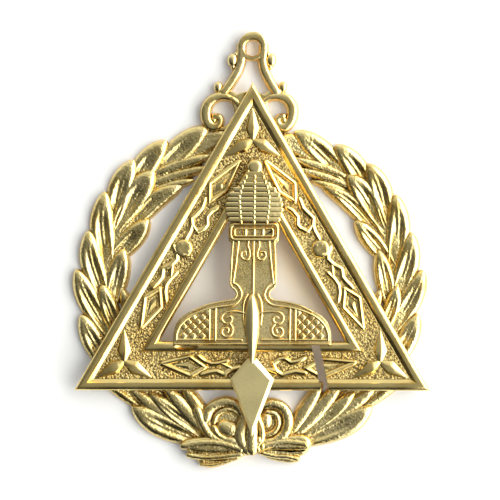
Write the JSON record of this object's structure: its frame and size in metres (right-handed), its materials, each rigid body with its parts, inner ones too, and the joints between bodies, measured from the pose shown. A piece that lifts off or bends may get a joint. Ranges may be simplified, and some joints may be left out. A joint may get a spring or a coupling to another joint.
{
  "type": "masonic collar jewel",
  "caption": "Gilded brass collar jewel: pierced triangle with raised ornament on a laurel wreath, a domed temple front and a trowel on its face, and a scrolled hanger with a suspension hole.",
  "frame": {"origin": "under the middle of the whole outline, on the surface that the jewel lies on", "axes": "+Y from the ribbon bow to the suspension hole, +X to the wearer's left as the face is seen, +Z out of the face"},
  "size_m": [0.0748, 0.0907, 0.0066],
  "materials": {
    "gilt_cast": "polished gilding on cast brass",
    "gilt_grained": "polished rims round a grained field",
    "gilt_struck": "gilded die-struck relief",
    "gilt_satin": "satin gilding with polished bevels"
  },
  "bodies": {
    "root": {"wreath": "gilt_cast", "hanger": "gilt_cast", "triangle": "gilt_grained", "temple_front": "gilt_struck", "trowel": "gilt_satin"}
  },
  "joints": []
}
